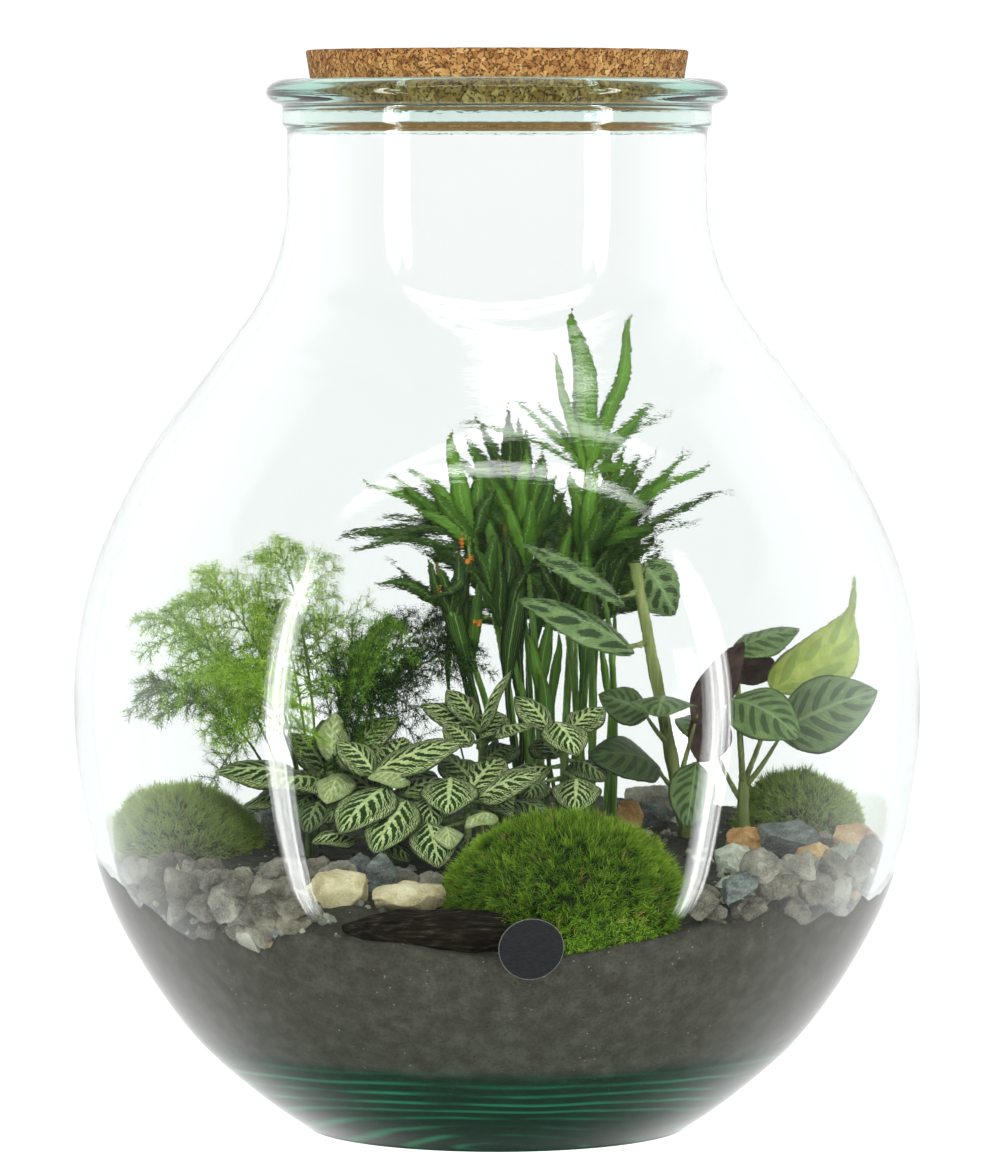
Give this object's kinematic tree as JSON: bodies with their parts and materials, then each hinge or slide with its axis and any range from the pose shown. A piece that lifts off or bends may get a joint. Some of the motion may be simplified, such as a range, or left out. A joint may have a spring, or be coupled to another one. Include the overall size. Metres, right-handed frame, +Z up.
{
  "type": "glass plant terrarium",
  "caption": "Round-bellied glass jar with a cork in its neck, planted with palm, asparagus fern, nerve plant, prayer plant, moss and gravel in soil.",
  "frame": {"origin": "centre of the jar's foot ring, on the surface that it stands on", "axes": "+Z up along the jar's axis, -Y towards the front of the planting, +X to the right as seen from the front"},
  "size_m": [0.2994, 0.2994, 0.3812],
  "materials": {
    "glass": "gloss",
    "cork": "matte",
    "label": "satin",
    "soil": "matte",
    "moss": "matte",
    "stone_beige": "matte",
    "stone_grey": "matte",
    "stone_slate": "matte",
    "stone_tan": "matte",
    "stone_pale": "matte",
    "bark": "matte",
    "palm_leaf": "satin",
    "fern": "satin",
    "nerve_leaf": "satin",
    "prayer_leaf": "satin"
  },
  "bodies": {
    "root": {"glass_jar": "glass", "cork": "cork", "label": "label", "soil": "soil", "moss_left": "moss", "moss_right": "moss", "moss_front": "moss", "stone_01": "stone_beige", "stone_02": "stone_beige", "stone_03": "stone_grey", "stone_04": "stone_grey", "stone_05": "stone_slate", "stone_06": "stone_grey", "stone_07": "stone_beige", "stone_08": "stone_slate", "stone_09": "stone_slate", "stone_10": "stone_tan", "stone_11": "stone_slate", "stone_12": "stone_tan", "stone_13": "stone_tan", "stone_14": "stone_pale", "stone_15": "stone_grey", "stone_16": "stone_grey", "stone_17": "stone_pale", "stone_18": "stone_pale", "stone_19": "stone_tan", "stone_20": "stone_slate", "stone_21": "stone_grey", "stone_22": "stone_beige", "stone_23": "stone_grey", "stone_24": "stone_slate", "bark_piece": "bark", "palm_1": "palm_leaf", "palm_2": "palm_leaf", "asparagus_fern_1": "fern", "asparagus_fern_2": "fern", "asparagus_fern_3": "fern", "asparagus_fern_4": "fern", "asparagus_fern_5": "fern", "nerve_plant_1": "nerve_leaf", "nerve_plant_2": "nerve_leaf", "nerve_plant_3": "nerve_leaf", "nerve_plant_4": "nerve_leaf", "prayer_plant_tall": "prayer_leaf", "prayer_plant_right": "prayer_leaf"}
  },
  "joints": []
}
